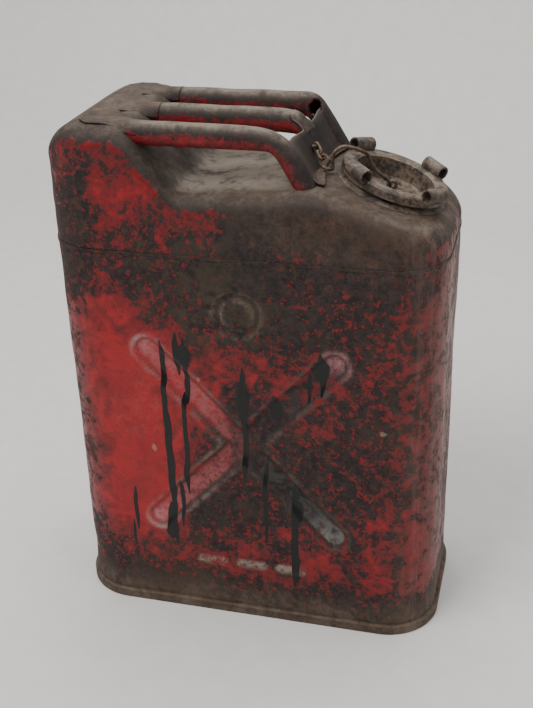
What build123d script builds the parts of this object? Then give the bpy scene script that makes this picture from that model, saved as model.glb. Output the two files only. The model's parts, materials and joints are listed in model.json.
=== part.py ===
from build123d import *
import os
from math import atan2, cos, degrees, hypot, radians, sin, tan

# Five-gallon (20 litre) welded steel jerry can with a screwed filler cap on a chain.
# Millimetres. Origin: centre of the footprint, on the surface the can stands on.
# +X points to the filler end, +Z up, and the can is narrow along Y.

# ---- driving dimensions -------------------------------------------------------
SHEET = 1.0                  # pressed body sheet
BODY_LENGTH = 340.0          # along X, outside the sheet
BODY_WIDTH = 163.0           # along Y, outside the sheet
CORNER_RADIUS = 46.0         # vertical corners
SHOULDER_Z = 364.0           # welded joint between body and top pressing

CHIME_PROUD = 3.4            # bottom seam stands out from the body wall
CHIME_HEIGHT = 9.5
CHIME_THICK = 1.5            # folded sheet under the walls
PAN_FLOOR_Z = 9.0            # underside of the raised bottom

CROSS_CENTRE_Z = 188.0       # stiffening cross pressed into both broad faces
CROSS_REACH = (92.0, 97.0)   # tip of an arm from the centre, along X and Z
GROOVE_WIDTH = 27.0
GROOVE_DEPTH = 4.5
GROOVE_TAPER = 40.0
RING_CENTRE_Z = 315.0        # plain pressed ring above the cross
RING_RADII = (15.0, 20.5)
RING_DEPTH = 2.2
BAR_CENTRES_X = (-34.0, 4.0, 42.0)   # plain raised bars below the cross
BAR_SIZE = (30.0, 9.0)
BAR_Z = 58.0
BAR_HEIGHT = 1.2

HUMP_TOP_Z = 467.6           # air chamber at the rear, under the handle plate
HUMP_REAR_X = -140.0
HUMP_REAR_SLOPE = 31.0
RAMP_TOP_X = -96.0
RAMP_FOOT = (-52.0, 413.5)   # start of the recess floor under the grips
DECK_CREST_X = 64.0
TOP_ROUNDS = (16.0, 28.0, 30.0, 22.0)
TOP_EDGE_RADIUS = 15.0

CAP_CENTRE = (119.5, 0.0, 421.3)     # on the filler axis, level with the lug tubes
CAP_TILT = 18.7              # filler axis leans towards +X
DECK_DROP = 16.0             # deck plane below the lug tubes, along the filler axis
NECK_BORE_R = 36.0
NECK_R = 39.0
NECK_LIP_R = 42.5
NECK_TOP_H = -7.5            # heights along the filler axis, from CAP_CENTRE
NECK_WELD_R = 47.0

GASKET_THICK = 2.0
PLATE_R = 45.5               # lug plate of the cap
PLATE_THICK = 2.6
PLATE_SKIRT = 5.0
CUP_R = 35.4                 # dished cup that screws into the neck
CUP_WALL = 1.6
CUP_FLOOR_H = -23.0
LUG_R = 6.2
LUG_BORE_R = 4.7
LUG_LENGTH = 20.0
LUG_AXIS_R = 45.5
LUG_ANGLES = (52.8, 142.8, 232.8, 322.8)

EYE_H = -14.0                # pivot bar of the swivel eye inside the cup
EYE_BAR_R = 1.2
EYE_HALF_SPAN = 4.6
RIVET_R = 3.0
WIRE_R = 1.5                 # retainer wire from the swivel eye to the chain
WIRE_AZIMUTH = 200.0         # seen along the filler axis, from +X
WIRE_LOOP_R = 3.4
WIRE_END_R = 57.5            # hook of the wire, from the filler axis
WIRE_END_H = -12.0
WIRE_END_LOOP_R = 4.5
CAP_LIFT = 30.0              # the chain is then taut
WIRE_DROP = 14.0             # the wire swings down this far as the cap is lifted

BAR_YS = {"left": -55.0, "centre": 0.0, "right": 55.0}
BAR_BENDS = {"left": 44.0, "centre": 30.0, "right": 16.0}
BAR_AXIS_Z = 459.3
BAR_R = 9.9
BAR_WALL = 1.2
BAR_REAR_X = -108.0
BAR_CORNER_X = 34.5          # where the straight axis would meet the leg axis
BAR_OPEN_X = 46.0            # the rolled underside ends here
LEG_ANGLE = 58.0             # legs and web below horizontal
LEG_FOOT_Z = 414.0
CENTRE_LEG_Z = 443.0

PLATE_SHEET = 1.5            # handle sheet
REAR_PLATE_X = (-134.0, -108.0)
REAR_PLATE_HALF = 66.0
REAR_PLATE_CHAMFER = 9.0
WEB_HALF = 62.0
WEB_SETBACK = 10.0           # the web curves back behind the cap
WEB_TOP_Z = 452.0
FOOT_FLANGE_X = (61.0, 73.0)

STAPLE_POINT = (52.6, -8.0, 440.5)   # chain anchor on the front of the web
CHAIN_WIRE_R = 1.1
CHAIN_SHARES = (0.32, 0.27)  # share of the chain's run in the upper and lower link
CHAIN_SHORT = 0.9            # the last ring hangs this far short of the middle of the hook
LINK_WIDTH = 7.8
LINK_PLAY = 0.4

TILT = radians(CAP_TILT)
LEG = radians(LEG_ANGLE)
CAP_PLANE = Plane(origin=CAP_CENTRE, x_dir=(cos(TILT), 0, -sin(TILT)), z_dir=(sin(TILT), 0, cos(TILT)))
DECK_Z_AT_CAP = CAP_CENTRE[2] - DECK_DROP / cos(TILT)


def deck_z(x):
    """Height of the sloping deck at x."""
    return DECK_Z_AT_CAP + (CAP_CENTRE[0] - x) * tan(TILT)


def slab(inset, low, high):
    """Body outline, moved in by inset, from height low to height high."""
    outline = RectangleRounded(BODY_LENGTH - 2 * inset, BODY_WIDTH - 2 * inset, CORNER_RADIUS - inset)
    return Pos(0, 0, low) * extrude(outline, high - low)


def turned(points):
    """Solid of revolution about Z from (radius, height) points."""
    return revolve(Plane.XZ * make_face(Polyline(*points, close=True)), Axis.Z)


def ring(radius, wire, turn=360):
    """Wire ring about Z in the XY plane, or the first part of it."""
    section = Plane.XZ * Pos(radius, 0) * Circle(wire)
    return revolve(section, Axis.Z, revolution_arc=turn)


def both_sides(shape):
    """The shape and its mirror image on the other broad face."""
    return shape + mirror(shape, about=Plane.XZ)


# ---- body ---------------------------------------------------------------------
def broad_face(z, proud=0.0):
    """Plane on the left broad face, looking into the can."""
    return Plane(origin=(0, -BODY_WIDTH / 2 - proud, z), x_dir=(1, 0, 0), z_dir=(0, 1, 0))


def pressings(sheet):
    """What the press pushes inwards: the cross and the ring, grown by the sheet thickness."""
    run = 2 * (hypot(*CROSS_REACH) - GROOVE_WIDTH / 2)
    lean = degrees(atan2(CROSS_REACH[1], CROSS_REACH[0]))
    face = broad_face(CROSS_CENTRE_Z)
    tools = None
    for angle in (lean, -lean):
        slot = Rot(0, 0, angle) * SlotCenterToCenter(run, GROOVE_WIDTH + 2 * sheet)
        arm = face * extrude(slot, GROOVE_DEPTH + sheet, taper=GROOVE_TAPER)
        tools = arm if tools is None else tools + arm
    band = Circle(RING_RADII[1] + sheet) - Circle(RING_RADII[0] - sheet)
    tools += broad_face(RING_CENTRE_Z) * extrude(band, RING_DEPTH + sheet)
    return both_sides(tools)


def raised_bars(sheet):
    """Plain bars that stand out of the broad faces, shrunk by the sheet thickness."""
    bars = None
    for x in BAR_CENTRES_X:
        outline = SlotOverall(BAR_SIZE[0] - 2 * sheet, BAR_SIZE[1] - 2 * sheet)
        bar = broad_face(BAR_Z, BAR_HEIGHT - sheet) * Pos(x, 0) * extrude(outline, BAR_HEIGHT + SHEET)
        bars = bar if bars is None else bars + bar
    return both_sides(bars)


def body_shell():
    outside = slab(0, CHIME_THICK, SHOULDER_Z) + raised_bars(0) - pressings(0)
    inside = slab(SHEET, 0, SHOULDER_Z + 1) + raised_bars(SHEET) - pressings(SHEET)
    return outside - inside


def bottom_pan():
    """Raised floor with a flange that runs down inside the body wall."""
    outside = slab(SHEET, CHIME_THICK, PAN_FLOOR_Z + SHEET)
    return outside - slab(2 * SHEET, 0, PAN_FLOOR_Z)


def bottom_chime():
    """Rolled seam that closes over the body wall and the pan flange."""
    hook = slab(-CHIME_PROUD, 0, CHIME_HEIGHT)
    hook -= slab(0, CHIME_THICK, CHIME_HEIGHT + 1)
    hook -= slab(2.6 * SHEET, -1, CHIME_THICK + 1)
    rims = hook.edges().filter_by(
        lambda edge: abs(edge.center().Z - CHIME_HEIGHT) < 0.01 or edge.center().Z < 0.01
    )
    outer = [edge for edge in rims if is_outside(edge)]
    return fillet(outer, 1.2)


def is_outside(edge):
    """True for an edge on the outer outline of the chime."""
    middle = edge.position_at(0.5)
    if abs(middle.X) > BODY_LENGTH / 2 + 1 or abs(middle.Y) > BODY_WIDTH / 2 + 1:
        return True
    past_x = abs(middle.X) - BODY_LENGTH / 2 + CORNER_RADIUS
    past_y = abs(middle.Y) - BODY_WIDTH / 2 + CORNER_RADIUS
    reach = hypot(past_x, past_y)
    in_corner = past_x > 0 and past_y > 0
    return in_corner and reach > CORNER_RADIUS + 1


def body_side_weld():
    """Vertical bead where the wrapped body sheet meets itself, on the rear end."""
    bead = Cylinder(1.6, SHOULDER_Z - 2 - CHIME_HEIGHT, align=(Align.CENTER, Align.CENTER, Align.MIN))
    return Pos(-BODY_LENGTH / 2 + 0.9, 0, CHIME_HEIGHT) * bead - slab(0, 0, SHOULDER_Z)


def shoulder_weld():
    """Low bead around the joint between the body and the top pressing."""
    bead = slab(-0.7, SHOULDER_Z - 1.3, SHOULDER_Z + 1.3) - slab(0, SHOULDER_Z - 2, SHOULDER_Z + 2)
    return bead


# ---- top pressing ---------------------------------------------------------------
def top_form(inset):
    """Solid under the skin of the top pressing, moved in by inset."""
    half = BODY_LENGTH / 2 + 30
    corners = [
        (-half, HUMP_TOP_Z - (half + HUMP_REAR_X) * tan(radians(HUMP_REAR_SLOPE))),
        (HUMP_REAR_X, HUMP_TOP_Z),
        (RAMP_TOP_X, HUMP_TOP_Z),
        RAMP_FOOT,
        (DECK_CREST_X, deck_z(DECK_CREST_X)),
        (half, deck_z(half)),
    ]
    skyline = FilletPolyline(*corners, radius=list(TOP_ROUNDS))
    base = Polyline(corners[-1], (half, SHOULDER_Z - 60), (-half, SHOULDER_Z - 60), corners[0])
    side = make_face([*skyline.edges(), *base.edges()])
    if inset:
        side = offset(side, amount=-inset)
    form = extrude(Plane.XZ * side, BODY_WIDTH, both=True)
    form &= slab(inset, SHOULDER_Z - inset, HUMP_TOP_Z + 10)
    rim = [edge for edge in form.edges() if is_top_rim(edge, inset)]
    return fillet(rim, TOP_EDGE_RADIUS - inset)


def is_top_rim(edge, inset):
    """True for the edges where the top face meets the vertical wall."""
    box = edge.bounding_box()
    upright = box.size.Z > 1 and box.size.X < 0.01 and box.size.Y < 0.01
    across = box.size.X < 0.01 and box.size.Z < 0.01 and abs(box.center().X) < BODY_LENGTH / 2 - inset - 1
    return box.min.Z > SHOULDER_Z + 1 and not upright and not across


def filler_axis_cylinder(radius, low, high):
    return CAP_PLANE * Pos(0, 0, (low + high) / 2) * Cylinder(radius, high - low)


def top_shell():
    return top_form(0) - top_form(SHEET) - filler_axis_cylinder(NECK_R, -60, 20)


# ---- handle ---------------------------------------------------------------------
def handle_rear_plate():
    """Flat sheet on the hump, from which the three grips are rolled."""
    rear, front = REAR_PLATE_X
    half, cut = REAR_PLATE_HALF, REAR_PLATE_CHAMFER
    outline = Polyline(
        (front, -half), (rear + cut, -half), (rear, cut - half),
        (rear, half - cut), (rear + cut, half), (front, half),
        close=True,
    )
    return Pos(0, 0, HUMP_TOP_Z) * extrude(make_face(outline), PLATE_SHEET)


def leg_point(z, forward=0.0):
    """Point of the leg axis line at height z, moved out along the web's normal."""
    x = BAR_CORNER_X + (BAR_AXIS_Z - z) / tan(LEG)
    return Vector(x + forward * sin(LEG), 0, z + forward * cos(LEG))


def grip(side, form):
    """Rolled tube of one grip with the half-open leg it runs into."""
    y = BAR_YS[side]
    low = CENTRE_LEG_Z if side == "centre" else LEG_FOOT_Z
    foot = leg_point(low)
    path = FilletPolyline(
        (BAR_REAR_X, y, BAR_AXIS_Z), (BAR_CORNER_X, y, BAR_AXIS_Z), (foot.X, y, foot.Z),
        radius=BAR_BENDS[side],
    )
    start = Plane(origin=(BAR_REAR_X, y, BAR_AXIS_Z), z_dir=(1, 0, 0))
    tube = sweep(start * (Circle(BAR_R) - Circle(BAR_R - BAR_WALL)), path=path)
    leg_plane = Plane(origin=(BAR_CORNER_X, y, BAR_AXIS_Z), x_dir=(0, 1, 0), z_dir=(sin(LEG), 0, cos(LEG)))
    behind = leg_plane * Pos(0, 0, -20) * Box(40, 200, 40)
    beyond = Pos(BAR_OPEN_X + 50, y, BAR_AXIS_Z - 50) * Box(100, 40, 140)
    return tube - (behind & beyond) - form


def web_sheet():
    """Sheet between the legs, curved back in the middle."""
    arc = ThreePointArc((-WEB_HALF, 0), (0, -WEB_SETBACK), (WEB_HALF, 0))
    back = ThreePointArc(
        (-WEB_HALF, -PLATE_SHEET), (0, -WEB_SETBACK - PLATE_SHEET), (WEB_HALF, -PLATE_SHEET)
    )
    sides = [Line((s * WEB_HALF, 0), (s * WEB_HALF, -PLATE_SHEET)) for s in (-1, 1)]
    section = make_face([arc.edge(), back.edge(), *[line.edge() for line in sides]])
    top = leg_point(WEB_TOP_Z)
    plane = Plane(origin=top, x_dir=(0, 1, 0), z_dir=(cos(LEG), 0, -sin(LEG)))
    return plane * extrude(section, (WEB_TOP_Z - LEG_FOOT_Z) / sin(LEG))


def foot_flange():
    """Strip on the deck in front of the web."""
    low, high = ((x - CAP_CENTRE[0]) / cos(TILT) for x in FOOT_FLANGE_X)
    strip = Box(high - low, 2 * WEB_HALF, PLATE_SHEET)
    strip = Pos((low + high) / 2, 0, -DECK_DROP + PLATE_SHEET / 2) * strip
    return CAP_PLANE * strip - filler_axis_cylinder(NECK_WELD_R + 1, -30, 0)


def handle_front_web(form, grips):
    web = web_sheet() + foot_flange() - form
    for tube in grips:
        web -= tube
    for y in BAR_YS.values():
        leg = leg_point(BAR_AXIS_Z)
        plane = Plane(origin=(leg.X, y, leg.Z), x_dir=(0, 1, 0), z_dir=(cos(LEG), 0, -sin(LEG)))
        length = (BAR_AXIS_Z - (CENTRE_LEG_Z if y == 0 else LEG_FOOT_Z)) / sin(LEG)
        web -= plane * extrude(Circle(BAR_R - 0.1), length)
    return max(web.solids(), key=lambda solid: solid.volume)


# ---- filler ---------------------------------------------------------------------
def filler_neck():
    """Collar welded into the deck, with a turned-out lip for the gasket."""
    low = -DECK_DROP - 12
    lip_low = NECK_TOP_H - 2.0
    return CAP_PLANE * turned([
        (NECK_BORE_R, low), (NECK_R, low), (NECK_R, lip_low), (NECK_LIP_R, lip_low),
        (NECK_LIP_R, NECK_TOP_H), (NECK_BORE_R, NECK_TOP_H),
    ])


def neck_weld(form):
    """Fillet bead between collar and deck."""
    bead = CAP_PLANE * turned([
        (NECK_R, -DECK_DROP - 4), (NECK_WELD_R, -DECK_DROP - 4),
        (NECK_WELD_R, -DECK_DROP + 0.4), (NECK_R, -DECK_DROP + 3.5),
    ])
    return max((bead - form).solids(), key=lambda solid: solid.volume)


def cap_gasket():
    low = NECK_TOP_H
    return CAP_PLANE * turned([
        (CUP_R + 0.6, low), (PLATE_R - 3.0, low),
        (PLATE_R - 3.0, low + GASKET_THICK), (CUP_R + 0.6, low + GASKET_THICK),
    ])


def cap_cup():
    """Dished plug with a flared rim that carries the lug plate."""
    under = NECK_TOP_H + GASKET_THICK
    floor = CUP_FLOOR_H
    cup = turned([
        (RIVET_R + 0.3, floor), (CUP_R - 3, floor), (CUP_R, floor + 3), (CUP_R, under),
        (CUP_R - CUP_WALL, under), (CUP_R - CUP_WALL, floor + 3 + CUP_WALL / 2),
        (CUP_R - 3 - CUP_WALL / 2, floor + CUP_WALL), (RIVET_R + 0.3, floor + CUP_WALL),
    ])
    return CAP_PLANE * cup


def cap_lug_plate():
    """Ring with a turned-down skirt and four rolled lugs."""
    under = NECK_TOP_H + GASKET_THICK
    top = under + PLATE_THICK
    inner = CUP_R - CUP_WALL
    body = turned([
        (inner, under), (PLATE_R - 1.8, under),
        (PLATE_R - 1.8, under - PLATE_SKIRT), (PLATE_R, under - PLATE_SKIRT),
        (PLATE_R, top - 1.2), (PLATE_R - 1.2, top), (inner + 3.0, top), (inner, top - 1.6),
    ])
    for angle in LUG_ANGLES:
        place = Rot(0, 0, angle) * Pos(LUG_AXIS_R, 0, 0)
        body += place * Rot(90, 0, 0) * Cylinder(LUG_R, LUG_LENGTH)
        web = Box(LUG_R * 1.6, LUG_LENGTH * 0.8, PLATE_THICK)
        body += place * Pos(-LUG_R / 2, 0, (under + top) / 2) * web
    for angle in LUG_ANGLES:
        bore = Rot(90, 0, 0) * Cylinder(LUG_BORE_R, LUG_LENGTH + 2)
        body -= Rot(0, 0, angle) * Pos(LUG_AXIS_R, 0, 0) * bore
    return CAP_PLANE * body


def cap_swivel_eye():
    """Rivet through the cup floor with a staple-shaped eye on its head."""
    floor_top = CUP_FLOOR_H + CUP_WALL
    rivet = Pos(0, 0, CUP_FLOOR_H - 1.0) * Cylinder(
        RIVET_R, CUP_WALL + 1.0, align=(Align.CENTER, Align.CENTER, Align.MIN)
    )
    head = Pos(0, 0, floor_top + 0.3) * Cylinder(
        EYE_HALF_SPAN + 1.8, 1.6, align=(Align.CENTER, Align.CENTER, Align.MIN)
    )
    neck = Pos(0, 0, floor_top) * Cylinder(RIVET_R, 1.0, align=(Align.CENTER, Align.CENTER, Align.MIN))
    bar = Pos(0, 0, EYE_H) * Rot(90, 0, 0) * Cylinder(EYE_BAR_R, 2 * EYE_HALF_SPAN)
    posts = None
    for side in (-1, 1):
        post = Pos(0, side * EYE_HALF_SPAN, floor_top + 1) * Cylinder(
            EYE_BAR_R, EYE_H - floor_top - 1, align=(Align.CENTER, Align.CENTER, Align.MIN)
        )
        knuckle = Pos(0, side * EYE_HALF_SPAN, EYE_H) * Sphere(EYE_BAR_R)
        posts = post + knuckle if posts is None else posts + post + knuckle
    eye = rivet + neck + head + bar + posts
    return CAP_PLANE * Rot(0, 0, WIRE_AZIMUTH - 180) * eye


def cap_swivel_washer():
    """Washer and closing head of the rivet, under the cup floor."""
    top = CUP_FLOOR_H - 0.3
    return CAP_PLANE * turned([
        (0, CUP_FLOOR_H - 1.0), (RIVET_R, CUP_FLOOR_H - 1.0), (RIVET_R, top), (7.0, top), (7.0, top - 1.4),
        (4.5, top - 2.2), (0, top - 2.6),
    ])


# ---- retainer wire and chain ------------------------------------------------------
def retainer_wire():
    """Bent wire that arches over the lugs, with a loop at one end and a hook at the other."""
    plane = CAP_PLANE * Rot(0, 0, WIRE_AZIMUTH - 180) * Rot(90, 0, 0)
    clear = LUG_R + WIRE_R + 0.8
    points = [
        (-WIRE_LOOP_R * 0.8, EYE_H + WIRE_LOOP_R * 0.6), (-19, -4.0), (-29.5, clear - 1.0),
        (-40.0, clear + 0.6), (-51.5, clear), (-56.8, 0.0), (-WIRE_END_R + WIRE_END_LOOP_R, WIRE_END_H + 0.3),
    ]
    path = FilletPolyline(*[(x, y, 0) for x, y in points], radius=[18, 12, 14, 9, 7])
    start = Plane(origin=path @ 0, z_dir=path % 0)
    wire = sweep(start * Circle(WIRE_R), path=path)
    wire += Pos(0, EYE_H, 0) * ring(WIRE_LOOP_R, WIRE_R * 0.95)
    hook = Rot(90, 0, 0) * Rot(0, 0, -30) * ring(WIRE_END_LOOP_R, WIRE_R, 180)
    wire += Pos(-WIRE_END_R, WIRE_END_H, 0) * hook
    return plane * wire


def wire_end(lifted=False):
    """Centre of the hook of the retainer wire, at rest or with the cap lifted."""
    drop, lift = (radians(WIRE_DROP), CAP_LIFT) if lifted else (0, 0)
    rise = WIRE_END_H - EYE_H
    reach = WIRE_END_R * cos(drop) + rise * sin(drop)
    height = EYE_H + lift - WIRE_END_R * sin(drop) + rise * cos(drop)
    turn = radians(WIRE_AZIMUTH)
    return CAP_PLANE.from_local_coords(Vector(reach * cos(turn), reach * sin(turn), height))


def chain_run(lifted=False):
    run = wire_end(lifted) - Vector(STAPLE_POINT)
    return run - run.normalized() * CHAIN_SHORT


def chain_plane(share):
    """Frame on the chain's run: x along it, z along the axis it swings about."""
    run = chain_run()
    axis = run.cross(chain_run(lifted=True)).normalized()
    return Plane(origin=Vector(STAPLE_POINT) + run * share, x_dir=run.normalized(), z_dir=axis)


def link(pitch, play_at_start=LINK_PLAY):
    """Stadium link in the XY plane; x = 0 and x = pitch are its two pull points."""
    wire = CHAIN_WIRE_R
    radius = LINK_WIDTH / 2 - wire
    left = -wire - play_at_start + radius
    right = pitch + wire + LINK_PLAY - radius
    body = Pos(left, 0, 0) * Rot(0, 0, 90) * ring(radius, wire, 180)
    body += Pos(right, 0, 0) * Rot(0, 0, -90) * ring(radius, wire, 180)
    if right > left:
        for side in (-1, 1):
            body += Pos((left + right) / 2, side * radius, 0) * Rot(0, 90, 0) * Cylinder(wire, right - left)
    return body


def chain_link_upper():
    return chain_plane(0) * link(CHAIN_SHARES[0] * chain_run().length, CHAIN_WIRE_R + LINK_PLAY)


def chain_link_lower():
    return chain_plane(CHAIN_SHARES[0]) * Rot(90, 0, 0) * link(CHAIN_SHARES[1] * chain_run().length)


def chain_ring():
    """Closed ring between the lower link and the wire's hook."""
    start = sum(CHAIN_SHARES)
    pitch = (1 - start) * chain_run().length
    radius = (pitch + CHAIN_WIRE_R + LINK_PLAY) / 2
    run = chain_run()
    upright = Plane(origin=chain_plane(start).origin, x_dir=run, z_dir=run.cross(CAP_PLANE.z_dir))
    return upright * Pos(radius - CHAIN_WIRE_R - LINK_PLAY, 0, 0) * ring(radius, CHAIN_WIRE_R)


def chain_staple():
    """Wire staple through the web; the upper link hangs on its bar."""
    web_normal = Vector(sin(LEG), 0, cos(LEG))
    bar = chain_plane(0).z_dir
    plane = Plane(origin=STAPLE_POINT, x_dir=bar, z_dir=web_normal - bar * web_normal.dot(bar))
    half = LINK_WIDTH / 2 - 0.3
    staple = Rot(0, 90, 0) * Cylinder(CHAIN_WIRE_R, 2 * half)
    for side in (-1, 1):
        staple += Pos(side * half, 0, 0) * Sphere(CHAIN_WIRE_R)
        staple += Pos(side * half, 0, -4) * Cylinder(CHAIN_WIRE_R, 8)
    return plane * staple


def main():
    form = top_form(0)
    grips = {side: grip(side, form) for side in BAR_YS}
    nodes = {
        "body_shell": body_shell(),
        "body_side_weld": body_side_weld(),
        "bottom_pan": bottom_pan(),
        "bottom_chime": bottom_chime(),
        "top_shell": top_shell(),
        "shoulder_weld": shoulder_weld(),
        "handle_rear_plate": handle_rear_plate(),
        "handle_bar_left": grips["left"],
        "handle_bar_centre": grips["centre"],
        "handle_bar_right": grips["right"],
        "handle_front_web": handle_front_web(form, grips.values()) - chain_staple(),
        "filler_neck": filler_neck(),
        "neck_weld": neck_weld(form),
        "cap_gasket": cap_gasket(),
        "cap_cup": cap_cup(),
        "cap_lug_plate": cap_lug_plate(),
        "cap_swivel_eye": cap_swivel_eye(),
        "cap_swivel_washer": cap_swivel_washer(),
        "retainer_wire": retainer_wire(),
        "chain_staple": chain_staple(),
        "chain_link_upper": chain_link_upper(),
        "chain_link_lower": chain_link_lower(),
        "chain_ring": chain_ring(),
    }
    os.makedirs("parts", exist_ok=True)
    for name, shape in nodes.items():
        export_step(shape, f"parts/{name}.step")


main()
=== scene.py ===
import json
import math

import bmesh
import bpy
import numpy as np
from mathutils import Matrix, Vector


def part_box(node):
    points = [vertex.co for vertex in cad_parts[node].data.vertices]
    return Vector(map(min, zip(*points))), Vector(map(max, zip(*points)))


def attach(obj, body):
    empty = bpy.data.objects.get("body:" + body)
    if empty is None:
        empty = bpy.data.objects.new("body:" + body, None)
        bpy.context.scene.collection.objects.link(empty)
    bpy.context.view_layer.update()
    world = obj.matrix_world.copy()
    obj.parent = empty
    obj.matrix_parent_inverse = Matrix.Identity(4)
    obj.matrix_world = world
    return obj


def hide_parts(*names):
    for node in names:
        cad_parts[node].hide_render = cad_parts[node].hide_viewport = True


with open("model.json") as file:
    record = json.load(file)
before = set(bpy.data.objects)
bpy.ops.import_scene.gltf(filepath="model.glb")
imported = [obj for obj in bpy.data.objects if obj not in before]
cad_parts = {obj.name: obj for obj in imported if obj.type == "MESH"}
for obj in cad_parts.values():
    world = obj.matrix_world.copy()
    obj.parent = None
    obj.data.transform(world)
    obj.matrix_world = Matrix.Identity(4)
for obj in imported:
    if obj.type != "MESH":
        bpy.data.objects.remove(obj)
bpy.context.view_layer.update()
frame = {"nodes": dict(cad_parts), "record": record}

# ---- sizes read from the frame, in metres -----------------------------------------
MM = 0.001
SHELL_LOW, SHELL_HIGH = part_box("body_shell")
_, TOP_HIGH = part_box("top_shell")
HALF_LENGTH = TOP_HIGH.x
HALF_WIDTH = TOP_HIGH.y
CORNER = 46 * MM
SHEET = 1 * MM
SHOULDER = SHELL_HIGH.z
HUMP_TOP = TOP_HIGH.z
TOP_EDGE = 15 * MM
JOINTS = {joint["name"]: joint for joint in frame["record"]["behaviour"]["joints"]}
CAP_CENTRE = Vector(JOINTS["cap_turn"]["pos_m"])
CAP_AXIS = Vector(JOINTS["cap_turn"]["axis"])
TILT = math.atan2(CAP_AXIS.x, CAP_AXIS.z)
NECK_R = 39 * MM
NECK_DEPTH = 30 * MM


def smooth(value, low, high):
    """0 below low, 1 above high, and a smooth step between; low may be above high."""
    t = np.clip((value - low) / (high - low), 0, 1)
    return t * t * (3 - 2 * t)


def bump_field(x, y, z, size, seed):
    """Gentle repeatable unevenness between -1 and 1, from a few crossed waves."""
    rng = np.random.default_rng(seed)
    total = np.zeros_like(x)
    for _ in range(7):
        direction = rng.normal(size=3)
        direction /= np.linalg.norm(direction)
        phase, stretch = rng.uniform(0, 2 * math.pi), rng.uniform(0.6, 1.6)
        along = x * direction[0] + y * direction[1] + z * direction[2]
        total += np.sin(along * stretch * 2 * math.pi / size + phase)
    return total / 4


# ---- mesh helpers -------------------------------------------------------------------
def new_object(name, verts, faces, node, material, attributes=None):
    """A smooth piece of the can that stands for one CAD node."""
    mesh = bpy.data.meshes.new(name)
    mesh.from_pydata([tuple(v) for v in verts], [], faces)
    for key, values in (attributes or {}).items():
        layer = mesh.attributes.new(key, "FLOAT", "POINT")
        layer.data.foreach_set("value", np.asarray(values, dtype=np.float32))
    mesh.update()
    piece = bpy.data.objects.new(name, mesh)
    bpy.context.scene.collection.objects.link(piece)
    piece.data.materials.append(material)
    mesh.shade_smooth()
    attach(piece, "can")
    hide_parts(node)
    return piece


def thicken(piece, thickness, even=False):
    """Gives an open sheet its thickness, on its inner side."""
    solid = piece.modifiers.new("sheet", "SOLIDIFY")
    solid.thickness, solid.offset, solid.use_even_offset = thickness, -1, even


def clean(piece, join=False):
    """Drops loose points and turns all faces outwards; join also merges doubled points."""
    mesh = bmesh.new()
    mesh.from_mesh(piece.data)
    if join:
        bmesh.ops.remove_doubles(mesh, verts=mesh.verts, dist=0.02 * MM)
        bmesh.ops.dissolve_degenerate(mesh, dist=0.02 * MM, edges=mesh.edges)
    bmesh.ops.delete(mesh, geom=[v for v in mesh.verts if not v.link_faces], context="VERTS")
    bmesh.ops.recalc_face_normals(mesh, faces=mesh.faces)
    mesh.to_mesh(piece.data)
    mesh.free()
    piece.data.shade_smooth()


def grid_faces(rows, columns, closed=True):
    """Quads of a grid of points; closed joins its last column to its first."""
    faces = []
    span = columns if closed else columns - 1
    for row in range(rows - 1):
        for column in range(span):
            right = (column + 1) % columns
            a, b = row * columns + column, row * columns + right
            faces.append((a, b, b + columns, a + columns))
    return faces


def outline(straight_step=2.3 * MM, corner_steps=18):
    """Points and outward normals of the can's outline, anticlockwise from the rear of the left face."""
    inner_x, inner_y = HALF_LENGTH - CORNER, HALF_WIDTH - CORNER
    points, normals = [], []

    def line(start, end, normal):
        count = max(2, round(math.dist(start, end) / straight_step))
        for k in range(count):
            t = k / count
            points.append((start[0] + (end[0] - start[0]) * t, start[1] + (end[1] - start[1]) * t))
            normals.append(normal)

    def corner(centre, angle):
        for k in range(corner_steps):
            a = math.radians(angle + 90 * k / corner_steps)
            points.append((centre[0] + CORNER * math.cos(a), centre[1] + CORNER * math.sin(a)))
            normals.append((math.cos(a), math.sin(a)))

    line((-inner_x, -HALF_WIDTH), (inner_x, -HALF_WIDTH), (0, -1))
    corner((inner_x, -inner_y), -90)
    line((HALF_LENGTH, -inner_y), (HALF_LENGTH, inner_y), (1, 0))
    corner((inner_x, inner_y), 0)
    line((inner_x, HALF_WIDTH), (-inner_x, HALF_WIDTH), (0, 1))
    corner((-inner_x, inner_y), 90)
    line((-HALF_LENGTH, inner_y), (-HALF_LENGTH, -inner_y), (-1, 0))
    corner((-inner_x, -inner_y), 180)
    return np.array(points), np.array(normals)


# ---- pressed body ---------------------------------------------------------------------
CROSS_Z = 188 * MM
CROSS_TIP = (92 * MM, 97 * MM)
GROOVE_HALF = 13.5 * MM
GROOVE_DEPTH = 4.5 * MM
RING_Z = 315 * MM
RING_MID = 17.8 * MM
RING_HALF = 3.6 * MM
RING_DEPTH = 2.2 * MM
BARS_X = (-34 * MM, 4 * MM, 42 * MM)
BARS_Z = 58 * MM
BAR_HALF = (15 * MM, 4.5 * MM)
BAR_RISE = 1.2 * MM


def cross_distance(x, z):
    """Distance outside the outline of the cross; negative inside it."""
    reach = math.hypot(*CROSS_TIP)
    best = np.full_like(x, 1.0)
    for sign in (1, -1):
        dx, dz = CROSS_TIP[0] / reach, sign * CROSS_TIP[1] / reach
        along = np.clip(x * dx + (z - CROSS_Z) * dz, GROOVE_HALF - reach, reach - GROOVE_HALF)
        best = np.minimum(best, np.hypot(x - along * dx, z - CROSS_Z - along * dz))
    return best - GROOVE_HALF


def bar_distance(x, z):
    """Distance outside the outlines of the three bars; negative inside them."""
    best = np.full_like(x, 1.0)
    for centre in BARS_X:
        along = np.clip(x - centre, BAR_HALF[1] - BAR_HALF[0], BAR_HALF[0] - BAR_HALF[1])
        best = np.minimum(best, np.hypot(x - centre - along, z - BARS_Z))
    return best - BAR_HALF[1]


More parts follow.
